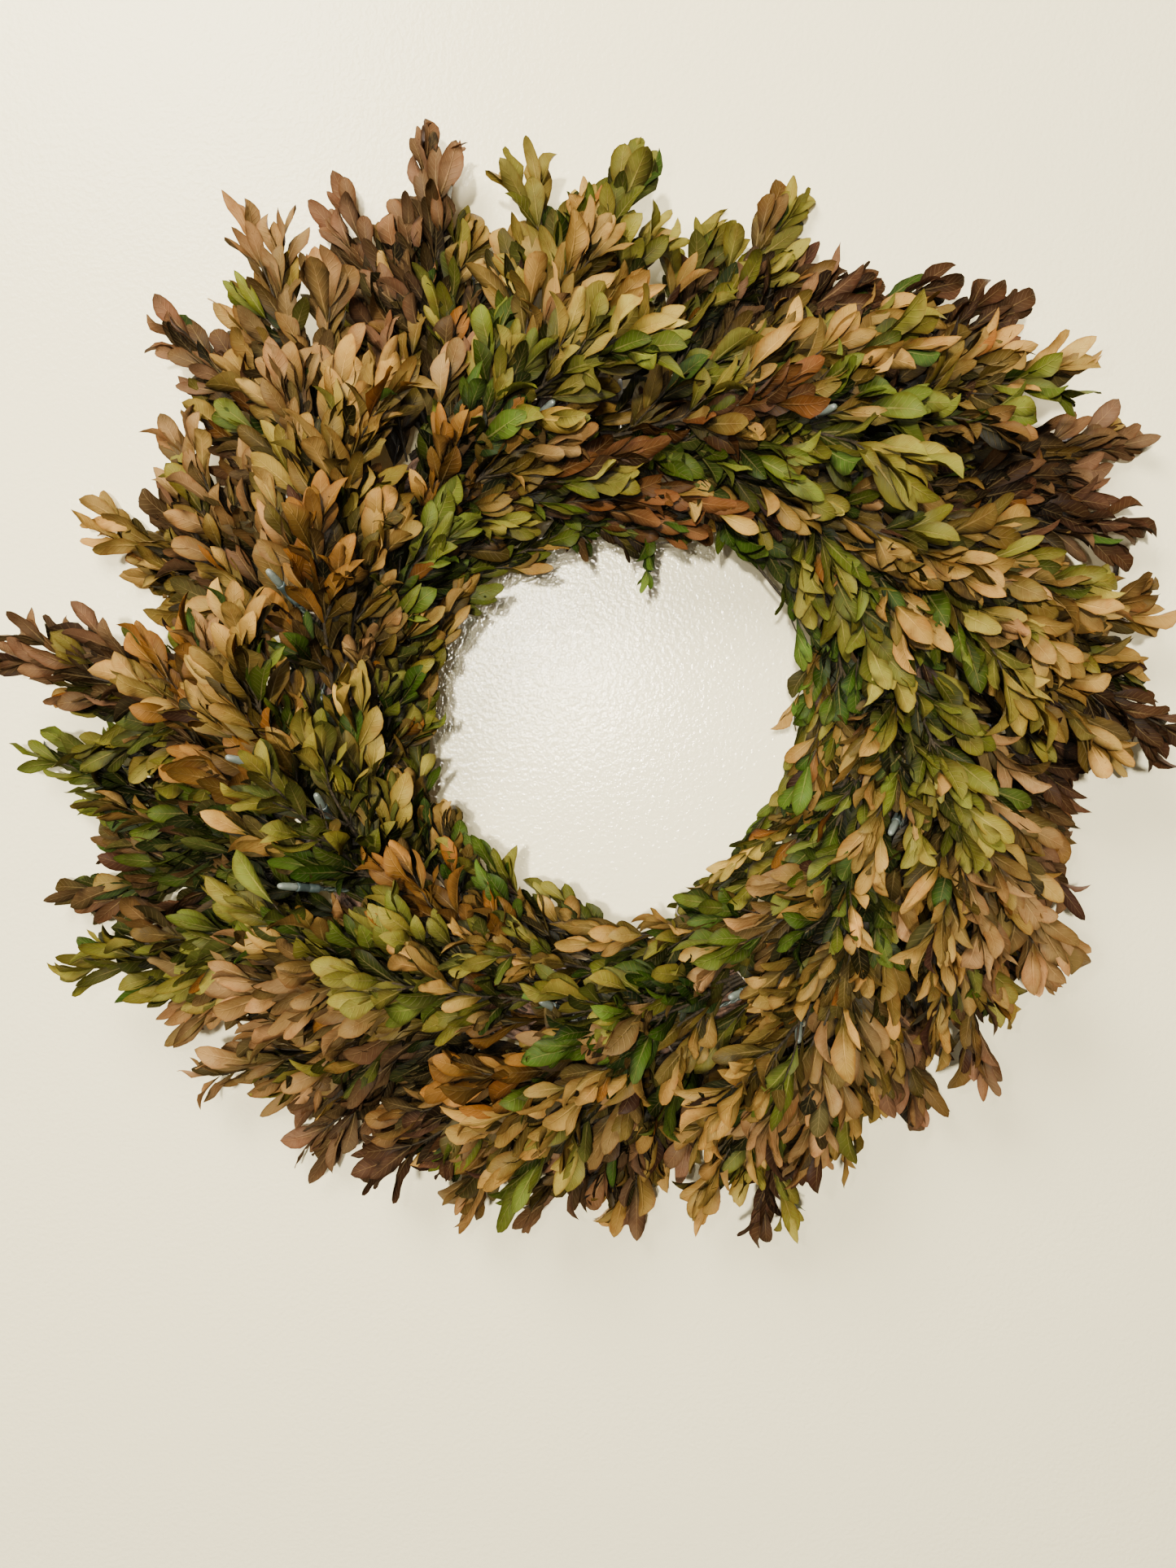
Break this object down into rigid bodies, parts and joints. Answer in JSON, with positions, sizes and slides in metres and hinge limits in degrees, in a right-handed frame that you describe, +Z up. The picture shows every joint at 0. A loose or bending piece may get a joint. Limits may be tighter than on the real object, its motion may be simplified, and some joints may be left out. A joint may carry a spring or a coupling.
{
  "type": "autumn leaf wreath",
  "caption": "Round wall wreath of leafy box sprigs in autumn colours, bound with wire to a ring of bundled twigs, with a string of small unlit lamps and a wire eye to hang it by.",
  "frame": {"origin": "top of the opening of the hanger's wire eye, where a nail carries the wreath", "axes": "+Z up, +X to the viewer's right, -Y out of the wall towards the viewer"},
  "size_m": [0.6058, 0.1202, 0.589],
  "materials": {
    "twigs": "dull bark",
    "hanger_wire": "dull drawn wire",
    "binding_wire": "lacquered green-grey",
    "lamp_cord": "matte dark green",
    "lamp": "frosted",
    "back_leaves": "dried dark brown leaf",
    "outer_leaves": "dried ochre leaf",
    "front_leaves": "dried tan leaf",
    "crown_leaves": "dried olive leaf",
    "inner_leaves": "preserved green leaf"
  },
  "bodies": {
    "root": {"twig_ring": "twigs", "hanger_wire": "hanger_wire", "binding_wire": "binding_wire", "light_string": "lamp_cord", "lamp_bulb_01": "lamp", "lamp_bulb_02": "lamp", "lamp_bulb_03": "lamp", "lamp_bulb_04": "lamp", "lamp_bulb_05": "lamp", "lamp_bulb_06": "lamp", "lamp_bulb_07": "lamp", "lamp_bulb_08": "lamp", "lamp_bulb_09": "lamp", "lamp_bulb_10": "lamp", "back_bunch_1": "back_leaves", "back_bunch_2": "back_leaves", "back_bunch_3": "back_leaves", "back_bunch_4": "back_leaves", "back_bunch_5": "back_leaves", "back_bunch_6": "back_leaves", "back_bunch_7": "back_leaves", "back_bunch_8": "back_leaves", "back_bunch_9": "back_leaves", "outer_bunch_1": "outer_leaves", "outer_bunch_2": "outer_leaves", "outer_bunch_3": "outer_leaves", "outer_bunch_4": "outer_leaves", "outer_bunch_5": "outer_leaves", "outer_bunch_6": "outer_leaves", "outer_bunch_7": "outer_leaves", "outer_bunch_8": "outer_leaves", "outer_bunch_9": "outer_leaves", "front_bunch_1": "front_leaves", "front_bunch_2": "front_leaves", "front_bunch_3": "front_leaves", "front_bunch_4": "front_leaves", "front_bunch_5": "front_leaves", "front_bunch_6": "front_leaves", "front_bunch_7": "front_leaves", "front_bunch_8": "front_leaves", "front_bunch_9": "front_leaves", "crown_bunch_1": "crown_leaves", "crown_bunch_2": "crown_leaves", "crown_bunch_3": "crown_leaves", "crown_bunch_4": "crown_leaves", "crown_bunch_5": "crown_leaves", "crown_bunch_6": "crown_leaves", "crown_bunch_7": "crown_leaves", "crown_bunch_8": "crown_leaves", "crown_bunch_9": "crown_leaves", "inner_bunch_1": "inner_leaves", "inner_bunch_2": "inner_leaves", "inner_bunch_3": "inner_leaves", "inner_bunch_4": "inner_leaves", "inner_bunch_5": "inner_leaves", "inner_bunch_6": "inner_leaves", "inner_bunch_7": "inner_leaves", "inner_bunch_8": "inner_leaves", "inner_bunch_9": "inner_leaves"}
  },
  "joints": []
}
